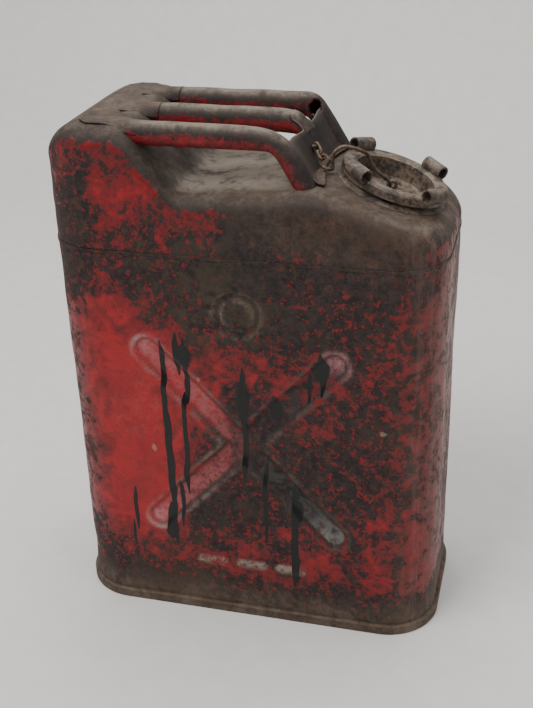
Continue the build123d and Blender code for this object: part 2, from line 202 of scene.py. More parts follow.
def pressed_depth(x, z):
    """How far the press pushed the broad faces inwards, and masks of rims, bars and grooves."""
    cross = cross_distance(x, z)
    ring = np.abs(np.hypot(x, z - RING_Z) - RING_MID) - RING_HALF
    bars = bar_distance(x, z)
    depth = GROOVE_DEPTH * smooth(cross, 1.0 * MM, -7.0 * MM)
    depth += RING_DEPTH * smooth(ring, 0.8 * MM, -3.2 * MM)
    depth -= BAR_RISE * smooth(bars, 0.6 * MM, -1.8 * MM)
    rims = np.exp(-((cross + 0.2 * MM) / (2.2 * MM)) ** 2)
    rims = np.maximum(rims, 0.8 * np.exp(-((ring - 0.4 * MM) / (1.6 * MM)) ** 2))
    raised = smooth(bars, 0.8 * MM, -1.2 * MM)
    floor = smooth(cross, -3 * MM, -7 * MM)
    return depth, rims, raised, floor


def dents(x, y, z):
    """Inward dents (x, y, z, radius, depth) from years of knocks."""
    total = np.zeros_like(x)
    knocks = (
        (118, -80, 371, 14, 1.4), (96, -82, 376, 10, 1.0), (142, -70, 372, 12, 1.0), (-25, -82, 255, 26, 0.9),
        (60, -82, 262, 30, 1.1), (-120, -82, 130, 34, 0.8), (30, -82, 120, 28, 1.0), (88, -82, 60, 24, 0.8),
        (-165, -20, 190, 40, 1.6), (168, 10, 250, 36, 1.5), (20, 82, 240, 45, 1.8), (-90, 82, 90, 30, 1.2),
        (100, 82, 330, 25, 1.2), (-158, -56, 40, 16, 1.4), (160, -52, 28, 14, 1.2), (-60, -80, 400, 16, 0.9),
    )
    for cx, cy, cz, radius, depth in knocks:
        gap = ((x - cx * MM) ** 2 + (y - cy * MM) ** 2 + (z - cz * MM) ** 2) / (radius * MM) ** 2
        total += depth * MM * np.exp(-gap)
    return total


def make_body(material):
    """Wrapped and pressed sheet, with shallow dents and uneven stretches."""
    points, normals = outline()
    heights = np.linspace(SHELL_LOW.z, SHOULDER, 140)
    columns = len(points)
    x, y = (np.tile(points[:, axis], len(heights)) for axis in range(2))
    nx, ny = (np.tile(normals[:, axis], len(heights)) for axis in range(2))
    z = np.repeat(heights, columns)
    broad = (np.abs(ny) > 0.99).astype(float)
    depth, rims, raised, floor = pressed_depth(x, z)
    free = smooth(z, 10 * MM, 40 * MM) * smooth(z, SHOULDER - 1 * MM, SHOULDER - 22 * MM)
    uneven = 0.45 * MM * bump_field(x, y, z, 90 * MM, 3) + 0.2 * MM * bump_field(x, y, z, 34 * MM, 8)
    push = depth * broad + (dents(x, y, z) + uneven) * free
    push = np.where(broad > 0, push, np.maximum(push, -0.3 * MM))
    verts = np.stack([x - nx * push, y - ny * push, z], axis=1)
    masks = {"rim": rims * broad, "raised": raised * broad, "floor": floor * broad}
    faces = grid_faces(len(heights), columns)
    piece = new_object("body_skin", verts, faces, "body_shell", material, masks)
    thicken(piece, SHEET, even=True)


# ---- top pressing -----------------------------------------------------------------------
HUMP_REAR = -140 * MM
HUMP_SLOPE = math.radians(31)
RAMP_TOP = -96 * MM
RAMP_FOOT = (-52 * MM, 413.5 * MM)
CREST_X = 64 * MM
DECK_DROP = 16 * MM


def deck_height(x):
    """Height of the sloping filler deck, carried on past its ends."""
    return CAP_CENTRE.z - DECK_DROP / math.cos(TILT) + (CAP_CENTRE.x - x) * math.tan(TILT)


def skyline(x):
    """Height of the top pressing along its middle, with its bends rounded by averaging."""
    crest = deck_height(CREST_X)
    knots_x = [-0.2, HUMP_REAR, RAMP_TOP, RAMP_FOOT[0], CREST_X, 0.2]
    rear = HUMP_TOP - (0.2 + HUMP_REAR) * math.tan(HUMP_SLOPE)
    knots_z = [rear, HUMP_TOP, HUMP_TOP, RAMP_FOOT[1], crest, deck_height(0.2)]
    spread = np.linspace(-1, 1, 15)
    weights = (1 - np.abs(spread)) / np.sum(1 - np.abs(spread))
    total = np.zeros_like(x)
    for offset, weight in zip(spread, weights):
        total += weight * np.interp(x + offset * 15 * MM, knots_x, knots_z)
    return total


def make_top(material):
    """Deep top pressing: walls, a rolled edge and the deck, open where the neck stands."""
    points, normals = outline(3.0 * MM, 20)
    columns = len(points)
    wall_rows, roll_rows, deck_rows = 26, 12, 30
    inner_x = HALF_LENGTH - HALF_WIDTH
    rows = []
    edge = skyline(points[:, 0]) - TOP_EDGE
    for k in range(wall_rows):
        z = SHOULDER + (edge - SHOULDER) * k / (wall_rows - 1)
        rows.append((points[:, 0], points[:, 1], z))
    for k in range(1, roll_rows + 1):
        angle = math.pi / 2 * k / roll_rows
        inset = TOP_EDGE * (1 - math.cos(angle))
        x, y = points[:, 0] - normals[:, 0] * inset, points[:, 1] - normals[:, 1] * inset
        rows.append((x, y, skyline(x) - TOP_EDGE + TOP_EDGE * math.sin(angle)))
    rim_x, rim_y = rows[-1][0], rows[-1][1]
    goal_x = np.clip(rim_x, -inner_x, inner_x)
    for k in range(1, deck_rows + 1):
        t = k / deck_rows
        x, y = rim_x + (goal_x - rim_x) * t, rim_y * (1 - t)
        rows.append((x, y, skyline(x)))
    x, y, z = (np.concatenate([row[axis] for row in rows]) for axis in range(3))
    nx, ny = (np.tile(normals[:, axis], len(rows)) for axis in range(2))
    roll = np.repeat(np.clip((np.arange(len(rows)) - wall_rows) / roll_rows, 0, 1), columns)
    free = smooth(z, SHOULDER + 1 * MM, SHOULDER + 18 * MM)
    uneven = 0.5 * MM * bump_field(x, y, z, 60 * MM, 21) + 0.3 * MM * bump_field(x, y, z, 26 * MM, 5)
    crown = 1.2 * MM * np.clip(1 - (y / HALF_WIDTH) ** 2, 0, 1)
    crown *= smooth(np.abs(x - 10 * MM), 60 * MM, 20 * MM)
    push = (dents(x, y, z) + uneven) * free
    from_cap = np.hypot((x - CAP_CENTRE.x) / math.cos(TILT), y)
    still = smooth(from_cap, 44 * MM, 60 * MM) * smooth(x, -150 * MM, -60 * MM)
    x, y = x - nx * push * (1 - roll), y - ny * push * (1 - roll)
    z = z + (crown - np.abs(push)) * roll * still
    verts = np.stack([x, y, z], axis=1)
    faces = [f for f in grid_faces(len(rows), columns) if not in_neck(verts[list(f)].mean(axis=0))]
    piece = new_object("top_skin", verts, faces, "top_shell", material)
    clean(piece, join=True)
    thicken(piece, SHEET)


def in_neck(point):
    """True within the filler neck's bore."""
    away = Vector(point) - CAP_CENTRE
    along = away.dot(CAP_AXIS)
    return (away - CAP_AXIS * along).length < NECK_R + 1 * MM and along > -NECK_DEPTH


# ---- handle pressing --------------------------------------------------------------------
GRIP_Y = 55 * MM
GRIP_R = 9.9 * MM
CROWN_Z = 469.2 * MM
GRIP_SHEET = 1.4 * MM
WEB_SHEET = 1.5 * MM
WEB_HALF = 54 * MM
PLATE_HALF = 66 * MM
TONGUE_EDGE = 27.5 * MM
# Tongues of the rear plate: the middle of its grip, and its two edges on the hump.
TONGUES = (
    (-GRIP_Y, -PLATE_HALF, -TONGUE_EDGE), (0, -TONGUE_EDGE, TONGUE_EDGE), (GRIP_Y, TONGUE_EDGE, PLATE_HALF),
)
# Side view of each grip in millimetres: crown line, underside line.
LEFT_CROWN = (
    (-108, 469.2), (8, 469.2), (24, 467.2), (36, 462.4), (46, 453.5), (53, 442), (59, 430), (66, 416),
)
LEFT_UNDER = (
    (-108, 449.4), (18, 449.4), (25, 449.2), (29.5, 446.5), (34, 440), (38, 433), (42.5, 425.5), (50, 412),
)
RIGHT_CROWN = (
    (-108, 469.2), (24, 469.2), (36, 468.6), (44, 464.5), (51, 454), (58, 443), (64.5, 432), (73, 417),
)
RIGHT_UNDER = (
    (-108, 449.4), (20, 449.4), (29, 449.0), (34, 445.5), (38, 439), (43, 431), (48, 423), (55, 412),
)
MIDDLE_CROWN = ((-108, 469.2), (16, 469.2), (30, 468.2), (39, 464.5), (46, 457.5), (49, 453))
MIDDLE_UNDER = ((-108, 449.4), (16, 449.4), (28, 448.8), (36, 448.0), (41, 449.0), (43, 450.5))
# Side view of the web's front in millimetres, from the grips' crowns down to the deck.
WEB_FRONT = (
    (18, 469.0), (33, 468.0), (42, 463.5), (49, 454.5), (56, 443), (63, 431), (67.5, 423.5), (70, 421.5),
)
# Oval opening in the far grip's inner flank, in millimetres: x, z, reach along X, reach along Z.
FLANK_HOLE = (40, 457.5, 5.5, 6.5)


def smooth_line(points, count):
    """Evenly spaced samples, in metres, of a polyline whose corners are relaxed a little."""
    line = np.array(points) * MM
    for _ in range(3):
        cut = [line[0]]
        for start, end in zip(line, line[1:]):
            cut += [start * 0.75 + end * 0.25, start * 0.25 + end * 0.75]
        line = np.array([*cut, line[-1]])
    run = np.concatenate([[0], np.cumsum(np.linalg.norm(np.diff(line, axis=0), axis=1))])
    at = np.linspace(0, run[-1], count)
    return np.stack([np.interp(at, run, line[:, axis]) for axis in range(2)], axis=1)


def in_hole(point, y, hole):
    """True inside an oval opening in the flank that the grip at y turns to the middle."""
    x, z, reach_x, reach_z = (value * MM for value in hole)
    oval = ((point[0] - x) / reach_x) ** 2 + ((point[2] - z) / reach_z) ** 2
    return point[1] < y - 3 * MM and oval < 1


def make_grip(name, y, crown, under, node, material, hollow=False, hole=None):
    """Tube whose section spans from its crown line to its underside line."""
    count, around = 90, 40
    high, low = smooth_line(crown, count), smooth_line(under, count)
    verts = []
    for k in range(count):
        middle, reach = (high[k] + low[k]) / 2, (high[k] - low[k]) / 2
        wide = GRIP_R * (1 + 0.16 * smooth(middle[0], 30 * MM, 50 * MM))
        for j in range(around):
            angle = 2 * math.pi * j / around
            x, z = middle + reach * math.cos(angle)
            verts.append((x, y + wide * math.sin(angle), z))
    verts = np.array(verts)
    seed = 30 + len(name)
    sink = 0.35 * MM * bump_field(verts[:, 0], verts[:, 1], verts[:, 2], 38 * MM, seed)
    verts[:, 2] += sink * smooth(verts[:, 0], -100 * MM, -80 * MM)
    faces = [f[::-1] for f in grid_faces(count, around)]
    if hole:
        faces = [f for f in faces if not in_hole(verts[list(f)].mean(axis=0), y, hole)]
    if not hollow:
        last = (count - 1) * around
        faces += [tuple(range(around)), tuple(last + j for j in reversed(range(around)))]
    piece = new_object(name, verts, faces, node, material)
    clean(piece)
    if hollow:
        thicken(piece, GRIP_SHEET)


def make_rear_plate(material):
    """Sheet on the hump that splits into three tongues, each of which rolls down into a grip."""
    rear, bend, split_at, front = -134 * MM, -125 * MM, -112 * MM, -82 * MM
    rows = np.concatenate([np.linspace(rear, split_at, 12), np.linspace(split_at + 2 * MM, front, 16)])
    columns, axis_z = 30, CROWN_Z - GRIP_R
    verts, faces = [], []
    for centre, low, high in TONGUES:
        base = len(verts)
        for x in rows:
            limit = PLATE_HALF - max(0.0, bend - x)
            split = max(0.0, (x - split_at) / (front - split_at))
            sink = smooth(x, split_at, front - 2 * MM)
            for k in range(columns):
                q = k / (columns - 1)
                flat = max(-limit, min(limit, low + (high - low) * q))
                rolled = centre - GRIP_R * math.cos(math.pi * q)
                roll_z = axis_z + (GRIP_R + 0.2 * MM) * math.sin(math.pi * q)
                verts.append((x, flat + (rolled - flat) * split, CROWN_Z + (roll_z - CROWN_Z) * sink))
        tongue = grid_faces(len(rows), columns, closed=False)
        faces += [tuple(base + i for i in face[::-1]) for face in tongue]
    piece = new_object("rear_plate", verts, faces, "handle_rear_plate", material)
    clean(piece, join=True)
    thicken(piece, GRIP_SHEET)


def make_web(material):
    """Sheet between the front legs, dished backwards, with two arched cuts beside the middle grip."""
    across, down, samples = 97, 40, 200
    front = smooth_line(WEB_FRONT, samples)
    run = np.linspace(0, 1, samples)
    verts = []
    for j in range(down):
        for i in range(across):
            y = WEB_HALF * (2 * i / (across - 1) - 1)
            gap = abs(y) / MM
            top = 0.20 + 0.23 * smooth(gap, 6, 14)
            t = top + (1 - top) * j / (down - 1)
            x, z = np.interp(t, run, front[:, 0]), np.interp(t, run, front[:, 1])
            dish = math.cos(min(gap / 50, 1) * math.pi / 2) ** 1.2
            around_grip = GRIP_R - math.sqrt(max(GRIP_R**2 - y**2, (4 * MM) ** 2))
            back = (1.0 + 9.0 * dish * smooth(t, 0.25, 0.75)) * MM + around_grip * smooth(t, 0.5, 0.25)
            side = -5.5 * MM * smooth(y, -8 * MM, -42 * MM) - 2.5 * MM * smooth(y, 20 * MM, 46 * MM)
            x += side * smooth(t, 1.0, 0.86) - back * 0.86
            z -= back * 0.50 + 0.9 * MM
            if t > 0.5:
                z = max(z, float(skyline(x)) + 1.0 * MM)
            verts.append((x, y, z))
    faces = grid_faces(down, across, closed=False)
    piece = new_object("front_web", verts, faces, "handle_front_web", material)
    thicken(piece, WEB_SHEET, even=True)


# ---- shader helpers -----------------------------------------------------------------------
class Shader:
    """Small wrapper that builds one node material."""

    def __init__(self, name):
        self.material = bpy.data.materials.new(name)
        self.material.use_nodes = True
        self.tree = self.material.node_tree
        self.tree.nodes.clear()
        self.out = self.node("ShaderNodeOutputMaterial")
        self.shader = self.node("ShaderNodeBsdfPrincipled")
        self.link(self.shader.outputs[0], self.out.inputs[0])
        self.place = self.node("ShaderNodeTexCoord").outputs["Object"]
        axes = self.node("ShaderNodeSeparateXYZ")
        self.link(self.place, axes.inputs[0])
        self.x, self.y, self.z = axes.outputs
        facing = self.node("ShaderNodeSeparateXYZ")
        self.link(self.node("ShaderNodeNewGeometry").outputs["Normal"], facing.inputs[0])
        self.up = facing.outputs[2]
        self.side = facing.outputs[1]

    def node(self, kind, **settings):
        made = self.tree.nodes.new(kind)
        for key, value in settings.items():
            setattr(made, key, value)
        return made

    def link(self, source, target):
        if isinstance(source, (int, float, tuple, list)):
            target.default_value = source
        else:
            self.tree.links.new(source, target)

    def math(self, operation, a, b=0.0):
        made = self.node("ShaderNodeMath", operation=operation)
        self.link(a, made.inputs[0])
        self.link(b, made.inputs[1])
        return made.outputs[0]

    def add(self, *values):
        total = values[0]
        for value in values[1:]:
            total = self.math("ADD", total, value)
        return total

    def times(self, *values):
        total = values[0]
        for value in values[1:]:
            total = self.math("MULTIPLY", total, value)
        return total

    def most(self, *values):
        total = values[0]
        for value in values[1:]:
            total = self.math("MAXIMUM", total, value)
        return total

    def step(self, value, low, high, first=0.0, last=1.0):
        """First below low, last above high, and smooth between; low may be above high."""
        made = self.node("ShaderNodeMapRange", interpolation_type="SMOOTHSTEP")
        for source, target in zip((value, low, high, first, last), made.inputs):
            self.link(source, target)
        return made.outputs[0]

    def noise(self, scale, detail=6.0, rough=0.6, stretch=(1, 1, 1), shift=0.0, warp=0.0):
        mapping = self.node("ShaderNodeMapping")
        self.link(self.place, mapping.inputs["Vector"])
        mapping.inputs["Scale"].default_value = stretch
        mapping.inputs["Location"].default_value = (shift, shift * 0.7, shift * 1.3)
        made = self.node("ShaderNodeTexNoise")
        self.link(mapping.outputs[0], made.inputs["Vector"])
        for key, value in (("Scale", scale), ("Detail", detail), ("Roughness", rough), ("Distortion", warp)):
            made.inputs[key].default_value = value
        return made.outputs[0]

    def mix(self, share, first, second):
        """First where share is 0, second where it is 1; both may be colours of 0 to 255."""
        made = self.node("ShaderNodeMix", data_type="RGBA")
        self.link(share, made.inputs[0])
        self.link(colour(first), made.inputs[6])
        self.link(colour(second), made.inputs[7])
        return made.outputs[2]

    def attribute(self, name):
        return self.node("ShaderNodeAttribute", attribute_name=name).outputs["Fac"]

    def spot(self, x, z, reach_x, reach_z):
        """Soft patch seen along Y, with its middle at x, z; all in millimetres."""
        dx = self.math("DIVIDE", self.math("SUBTRACT", self.x, x * MM), reach_x * MM)
        dz = self.math("DIVIDE", self.math("SUBTRACT", self.z, z * MM), reach_z * MM)
        gap = self.add(self.times(dx, dx), self.times(dz, dz))
        return self.math("EXPONENT", self.times(gap, -1.0))

    def finish(self, tint, rough, height, strength=0.3, distance=0.4 * MM, metal=0.0):
        bump = self.node("ShaderNodeBump")
        bump.inputs["Strength"].default_value = strength
        bump.inputs["Distance"].default_value = distance
        self.link(height, bump.inputs["Height"])
        self.link(bump.outputs[0], self.shader.inputs["Normal"])
        self.link(tint, self.shader.inputs["Base Color"])
        self.link(rough, self.shader.inputs["Roughness"])
        if metal:
            self.link(metal, self.shader.inputs["Metallic"])
        return self.material


def colour(value):
    """A colour given as 0 to 255 values for a screen, as Blender's linear one; sockets pass through."""
    if not isinstance(value, tuple):
        return value
    levels = [part / 255 for part in value]
    return (*[c / 12.92 if c <= 0.04045 else ((c + 0.055) / 1.055) ** 2.4 for c in levels], 1.0)


RED, DEEP_RED, FADED_RED = (150, 22, 27), (92, 15, 19), (158, 62, 64)
BLACK_BROWN, GRIME, OLIVE = (23, 19, 19), (50, 38, 36), (62, 52, 38)
RUST, DUST, PALE, TAR = (88, 54, 34), (106, 92, 79), (150, 144, 134), (5, 5, 6)

# Where the left broad face lost more (or less) of its red, in millimetres:
# x, z, reach along X, reach along Z, share.
WEAR_ZONES = (
    (-98, 225, 38, 75, -0.20), (-100, 125, 34, 50, -0.16), (-45, 235, 30, 40, -0.06), (-8, 318, 60, 34, 0.17),
    (78, 352, 80, 18, 0.16), (-5, 118, 62, 36, 0.13), (-152, 340, 22, 34, 0.14), (105, 200, 40, 120, 0.07),
    (-50, 350, 60, 10, 0.05), (65, 296, 46, 30, 0.06), (8, 205, 40, 44, 0.12), (-112, 318, 24, 20, -0.06),
    (100, 95, 30, 50, 0.04), (60, 170, 34, 34, 0.10), (-45, 130, 20, 30, 0.05), (-140, 60, 26, 30, 0.10),
    (-150, 200, 14, 120, 0.05), (-102, 400, 12, 30, -0.01), (-45, 385, 45, 16, 0.02),
    (-92, 342, 40, 26, 0.08),
    (6, 372, 20, 28, 0.20), (50, 396, 42, 26, 0.24), (125, 392, 45, 34, 0.20), (-132, 400, 12, 40, 0.16),
    (-158, 420, 20, 50, 0.06),
)

# Tar runs on the left face, in millimetres: x, top, bottom, half width.
TAR_RUNS = (
    (-70, 283, 80, 2.9), (-68.5, 215, 118, 3.4), (-73, 112, 78, 4.4), (-56, 292, 252, 3.2),
    (-49, 286, 225, 3.0), (-52, 232, 150, 2.6), (-54, 165, 128, 2.4), (-61, 140, 92, 2.4),
    (-68, 100, 70, 2.6), (-106, 128, 82, 2.4), (-110, 90, 62, 1.8), (1.5, 264, 150, 2.8),
    (20, 170, 84, 2.2), (47, 150, 45, 3.6), (45, 96, 40, 2.8), (72, 284, 246, 3.6), (60, 262, 238, 3.0),
)
# Tar blobs and smears, in millimetres: x, z, reach along X, reach along Z, share.
TAR_BLOBS = (
    (-73, 84, 6, 9, 1.0), (-50, 272, 9, 13, 0.9), (70, 268, 9, 12, 0.95), (30, 226, 8, 20, 0.75),
    (2, 232, 7, 26, 0.8), (48, 122, 7, 16, 0.85), (58, 252, 9, 6, 0.6), (-68, 160, 5, 22, 0.8),
    (18, 196, 8, 14, 0.5),
)


def tar_mask(s, wander):
    """Runs of black tar down the left broad face."""
    x = s.add(s.x, s.times(s.math("SUBTRACT", wander, 0.5), 7 * MM))
    mask = 0.0
    for run_x, top, bottom, half in TAR_RUNS:
        above = s.step(s.z, (bottom - 6) * MM, (bottom + 16) * MM)
        span = s.times(above, s.step(s.z, (top + 6) * MM, (top - 10) * MM))
        reach = s.times(s.add(s.times(span, 0.8), 0.2), half * MM)
        across = s.math("DIVIDE", s.math("ABSOLUTE", s.math("SUBTRACT", x, run_x * MM)), reach)
        mask = s.most(mask, s.times(s.step(across, 1.15, 0.55), s.step(span, 0.0, 0.25)))
    for blob_x, blob_z, reach_x, reach_z, share in TAR_BLOBS:
        mask = s.most(mask, s.times(s.spot(blob_x, blob_z, reach_x, reach_z), share))
    return s.times(mask, s.step(s.side, -0.35, -0.75))


def paint_loss(s, extra_wear):
    """How much of the red has gone, from place to place."""
    mottle = s.add(s.times(s.middle, 0.42), s.times(s.spread, 0.42), s.times(s.fine, 0.30))
    mottle = s.add(mottle, s.times(s.broad, 0.26), s.times(s.streak, 0.12), -0.25)
    zones = 0.0
    for x, z, reach_x, reach_z, share in WEAR_ZONES:
        zones = s.add(zones, s.times(s.spot(x, z, reach_x, reach_z), share))
    loss = s.add(mottle, s.times(zones, s.on_left), extra_wear)
    at_foot, at_top = s.step(s.z, 56 * MM, 10 * MM), s.step(s.z, 362 * MM, 430 * MM)
    loss = s.add(loss, s.times(at_foot, 0.20), s.times(s.step(s.up, 0.2, 0.75), 0.16))
    return s.add(loss, s.times(at_top, s.step(s.side, -0.6, -0.1), 0.12))


def chipped_paint(s, loss, bare):
    """Red enamel, and where it is gone the dark, olive or rusty coat under it."""
    paint = s.mix(s.step(s.middle, 0.42, 0.62), RED, (128, 20, 24))
    faded = s.times(s.step(s.broad, 0.48, 0.66), s.step(s.fine, 0.46, 0.60), 0.5)
    paint = s.mix(faded, paint, FADED_RED)
    paint = s.mix(s.times(s.step(loss, 0.37, 0.53), 0.85), paint, DEEP_RED)
    under = s.mix(s.step(s.fine, 0.42, 0.60), BLACK_BROWN, GRIME)
    olive = s.add(s.times(s.step(s.broad, 0.50, 0.62), 0.5), s.spot(-10, 312, 46, 30))
    olive = s.times(s.math("MINIMUM", olive, 1.0), s.step(s.middle, 0.42, 0.56), 0.8)
    under = s.mix(olive, under, OLIVE)
    under = s.mix(s.times(s.step(s.noise(95, 10, 0.7, shift=6.6), 0.54, 0.64), 0.45), under, RUST)
    tint = s.mix(bare, paint, under)
    flecks = s.times(s.step(s.noise(260, 6, 0.7, shift=12.5), 0.60, 0.66), s.step(loss, 0.36, 0.50))
    tint = s.mix(s.times(flecks, 0.85), tint, BLACK_BROWN)
    red_flecks = s.step(s.noise(170, 8, 0.72, shift=15.5), 0.53, 0.60)
    red_flecks = s.times(red_flecks, bare, s.step(s.up, 0.5, 0.0), s.step(loss, 0.72, 0.58), 0.85)
    return s.mix(red_flecks, tint, (126, 26, 31))


def dusty(s, tint, dust_up):
    """Brown rust and pale dust where they gather, and a painted sky reflection on the front end; also gives
    how thick they lie.
    """
    rust_zone = s.times(s.add(s.spot(55, 396, 42, 22), s.spot(128, 394, 44, 30)), s.on_left)
    bloom = s.add(
        s.times(s.step(s.up, 0.30, 0.90), dust_up), s.times(s.step(s.z, 44 * MM, 4 * MM), 0.75),
        s.times(rust_zone, 0.55), s.times(s.step(s.x, 118 * MM, 168 * MM), 0.22),
    )
    gather = s.step(s.add(s.times(s.fine, 0.5), s.times(s.streak, 0.35), s.times(s.broad, 0.3)), 0.44, 0.64)
    bloom = s.math("MINIMUM", s.times(bloom, s.add(s.times(gather, 0.75), 0.25)), 0.9)
    dust = s.mix(s.step(s.middle, 0.40, 0.60), DUST, (84, 66, 52))
    dust = s.mix(s.times(rust_zone, 0.8), dust, (74, 52, 36))
    tint = s.mix(bloom, tint, dust)
    recess = s.times(s.step(s.up, 0.55, 0.9), s.step(s.x, -95 * MM, -70 * MM), s.step(s.x, 62 * MM, 30 * MM))
    recess = s.times(recess, s.step(s.math("ABSOLUTE", s.y), 70 * MM, 58 * MM))
    tint = s.mix(s.times(recess, s.step(s.streak, 0.30, 0.55), 0.60), tint, (138, 127, 113))
    bend = s.times(s.step(s.up, 0.15, 0.45), s.step(s.up, 0.97, 0.80), s.step(s.z, 385 * MM, 400 * MM))
    tint = s.mix(s.times(bend, s.step(s.spread, 0.36, 0.56), 0.55), tint, (46, 36, 31))
    # Painted reflection: a pale greyish sheen streaked over the front end, standing for the sky mirrored
    # there.
    front_sky_reflection = s.times(s.step(s.x, 132 * MM, 166 * MM), s.step(s.streak, 0.46, 0.62), 0.40)
    return s.mix(front_sky_reflection, tint, (128, 98, 92)), bloom


def pressed_marks(s, tint):
    """Colours that follow the cross, the ring, the bars and the shoulder seam, with a painted highlight on
    one groove's lower edge.
    """
    rim, raised, floor = s.attribute("rim"), s.attribute("raised"), s.attribute("floor")
    left_part, right_part = s.step(s.x, 15 * MM, -30 * MM), s.step(s.x, -25 * MM, 15 * MM)
    low_part = s.step(s.z, 200 * MM, 150 * MM)
    wiped = s.step(s.add(s.times(s.fine, 0.6), s.times(s.middle, 0.5)), 0.47, 0.60)
    tint = s.mix(s.times(floor, left_part, s.add(s.times(wiped, 0.55), 0.15)), tint, (160, 84, 86))
    # The groove floors turn near black on the right half of the cross, more so towards the bottom.
    dark_floor = s.times(floor, right_part, s.add(s.times(low_part, 0.45), 0.40))
    tint = s.mix(dark_floor, tint, s.mix(s.step(s.middle, 0.45, 0.58), (18, 19, 20), (58, 57, 54)))

    rub = s.times(rim, s.step(s.add(s.times(s.spread, 0.55), s.times(s.middle, 0.45)), 0.42, 0.60))
    rub_here = s.add(s.step(s.x, 20 * MM, -60 * MM, 0.22, 0.50), s.times(s.spot(-6, 311, 20, 22), 0.35))
    tint = s.mix(s.times(rub, rub_here), tint, s.mix(s.fine, PALE, (150, 100, 94)))
    tips = s.add(s.spot(88, 283, 18, 14), s.spot(-92, 286, 14, 12), s.spot(-88, 94, 17, 14))
    tip = s.times(s.math("MINIMUM", tips, 1.0), s.most(floor, rim))
    tint = s.mix(s.times(tip, s.add(0.25, s.times(wiped, 0.5))), tint, (176, 122, 124))
    # Painted highlight: a pale line along the lower edge of the lower right groove, where light from above
    # catches it.
    groove_highlight = s.times(s.step(floor, 0.15, 0.6), s.spot(74, 98, 30, 20), s.step(s.spread, 0.35, 0.55), 0.55)
    tint = s.mix(groove_highlight, tint, (136, 134, 128))

    worn = s.step(s.add(s.times(s.fine, 0.6), s.times(s.middle, 0.45)), 0.44, 0.60)
    tint = s.mix(s.times(raised, worn, 0.75), tint, s.mix(s.grain, (158, 148, 134), (120, 106, 94)))
    seam = s.step(s.z, SHOULDER - 2.6 * MM, SHOULDER - 0.9 * MM)
    tint = s.mix(s.times(seam, s.step(s.streak, 0.42, 0.54), 0.55), tint, (138, 122, 108))
    chips = s.add(s.spot(-83, 176, 5.5, 6.5), s.spot(125, 216, 6, 4), s.spot(-38, 250, 4, 4))
    chips = s.step(s.add(chips, s.times(s.fine, 1.4)), 1.42, 1.62)
    return s.mix(s.times(chips, s.on_left, 0.4), tint, (150, 136, 120))


def painted(name, pressed=False, extra_wear=0.0, dust_up=0.75, flank_red=0.0):
    """Red enamel over older olive paint: chipped, rusted, stained and dusty."""
    s = Shader(name)
    s.shader.inputs["Specular IOR Level"].default_value = 0.35
    s.fine, s.middle = s.noise(190, 12, 0.74, shift=1.3, warp=0.5), s.noise(44, 12, 0.70, shift=4.1, warp=0.7)
    s.broad, s.grain = s.noise(12, 5, 0.55, shift=7.7), s.noise(620, 4, 0.6, shift=3.9)
    s.streak = s.noise(75, 8, 0.65, stretch=(1, 1, 0.10), shift=2.2)
    s.spread = s.noise(95, 12, 0.72, shift=18.2, warp=0.4)
    s.on_left = s.step(s.side, -0.15, -0.6)

    loss = paint_loss(s, extra_wear)
    bare = s.step(loss, 0.506, 0.560)
    tint, bloom = dusty(s, chipped_paint(s, loss, bare), dust_up)
    specks = s.mix(bare, (60, 14, 16), (14, 12, 11))
    tint = s.mix(s.times(s.step(s.grain, 0.45, 0.75), 0.30), tint, specks)
    if flank_red:
        flank = s.times(s.step(s.up, 0.25, -0.15), s.step(s.middle, 0.62, 0.44), flank_red)
        tint = s.mix(flank, tint, RED)
    height = s.add(s.times(bare, -0.6), s.times(s.fine, 0.6), s.times(s.middle, 0.3), s.times(s.grain, 0.15))
    rough = s.step(s.add(bare, s.times(bloom, 0.8)), 0.0, 1.0, 0.40, 0.72)

    if pressed:
        tar = tar_mask(s, s.noise(24, 3, 0.5, shift=3.3))
        tar = s.step(s.add(tar, s.times(s.noise(150, 6, 0.65, shift=8.8), 0.55)), 0.62, 0.80)
        tint = s.mix(tar, pressed_marks(s, tint), s.mix(s.step(s.fine, 0.55, 0.7), TAR, (16, 17, 18)))
        stay = s.math("SUBTRACT", 1.0, tar)
        rough = s.add(s.times(rough, stay), s.times(tar, 0.32))
        height = s.add(s.times(height, stay), s.times(tar, s.add(1.3, s.times(s.fine, 0.8))))
    return s.finish(tint, rough, height, 0.6, 0.45 * MM)


def bare_steel(name, red=0.0, base=(112, 98, 86), dark=(58, 49, 43)):
    """Dull brown oxidised steel with dirt in its hollows and flecks of paint."""
    s = Shader(name)
    fine, middle = s.noise(330, 8, 0.66, shift=2.1), s.noise(85, 6, 0.6, shift=5.2)
    broad = s.noise(26, 4, 0.5, shift=1.7)
    tint = s.mix(s.step(s.add(s.times(fine, 0.6), s.times(middle, 0.5)), 0.45, 0.66), dark, base)
    tint = s.mix(s.times(s.step(broad, 0.45, 0.65), s.step(fine, 0.4, 0.6), 0.5), tint, (134, 110, 84))
    tint = s.mix(s.times(s.step(middle, 0.60, 0.70), 0.6), tint, (92, 60, 42))
    tint = s.mix(s.times(s.step(s.noise(60, 6, 0.7, shift=11.0), 0.60, 0.66), red), tint, (150, 58, 60))
    tint = s.mix(s.times(s.step(s.up, 0.5, 1.0), s.step(middle, 0.42, 0.6), 0.35), tint, (140, 128, 114))
    rough, height = s.step(fine, 0.3, 0.7, 0.50, 0.72), s.add(fine, s.times(middle, 0.8))
    return s.finish(tint, rough, height, 0.7, 0.35 * MM, metal=0.25)


def rubber(name):
    """Hardened black rubber with a little dust."""
    s = Shader(name)
    fine = s.noise(300, 6, 0.6)
    tint = s.mix(s.step(fine, 0.4, 0.7), (22, 20, 18), (58, 52, 46))
    return s.finish(tint, 0.8, fine, 0.4, 0.2 * MM)


# ---- scene ------------------------------------------------------------------------------------
def paint_nodes(names, material):
    """Gives the CAD nodes that stay one material."""
    for name in names:
        node = frame["nodes"][name]
        node.data.materials.clear()
        node.data.materials.append(material)


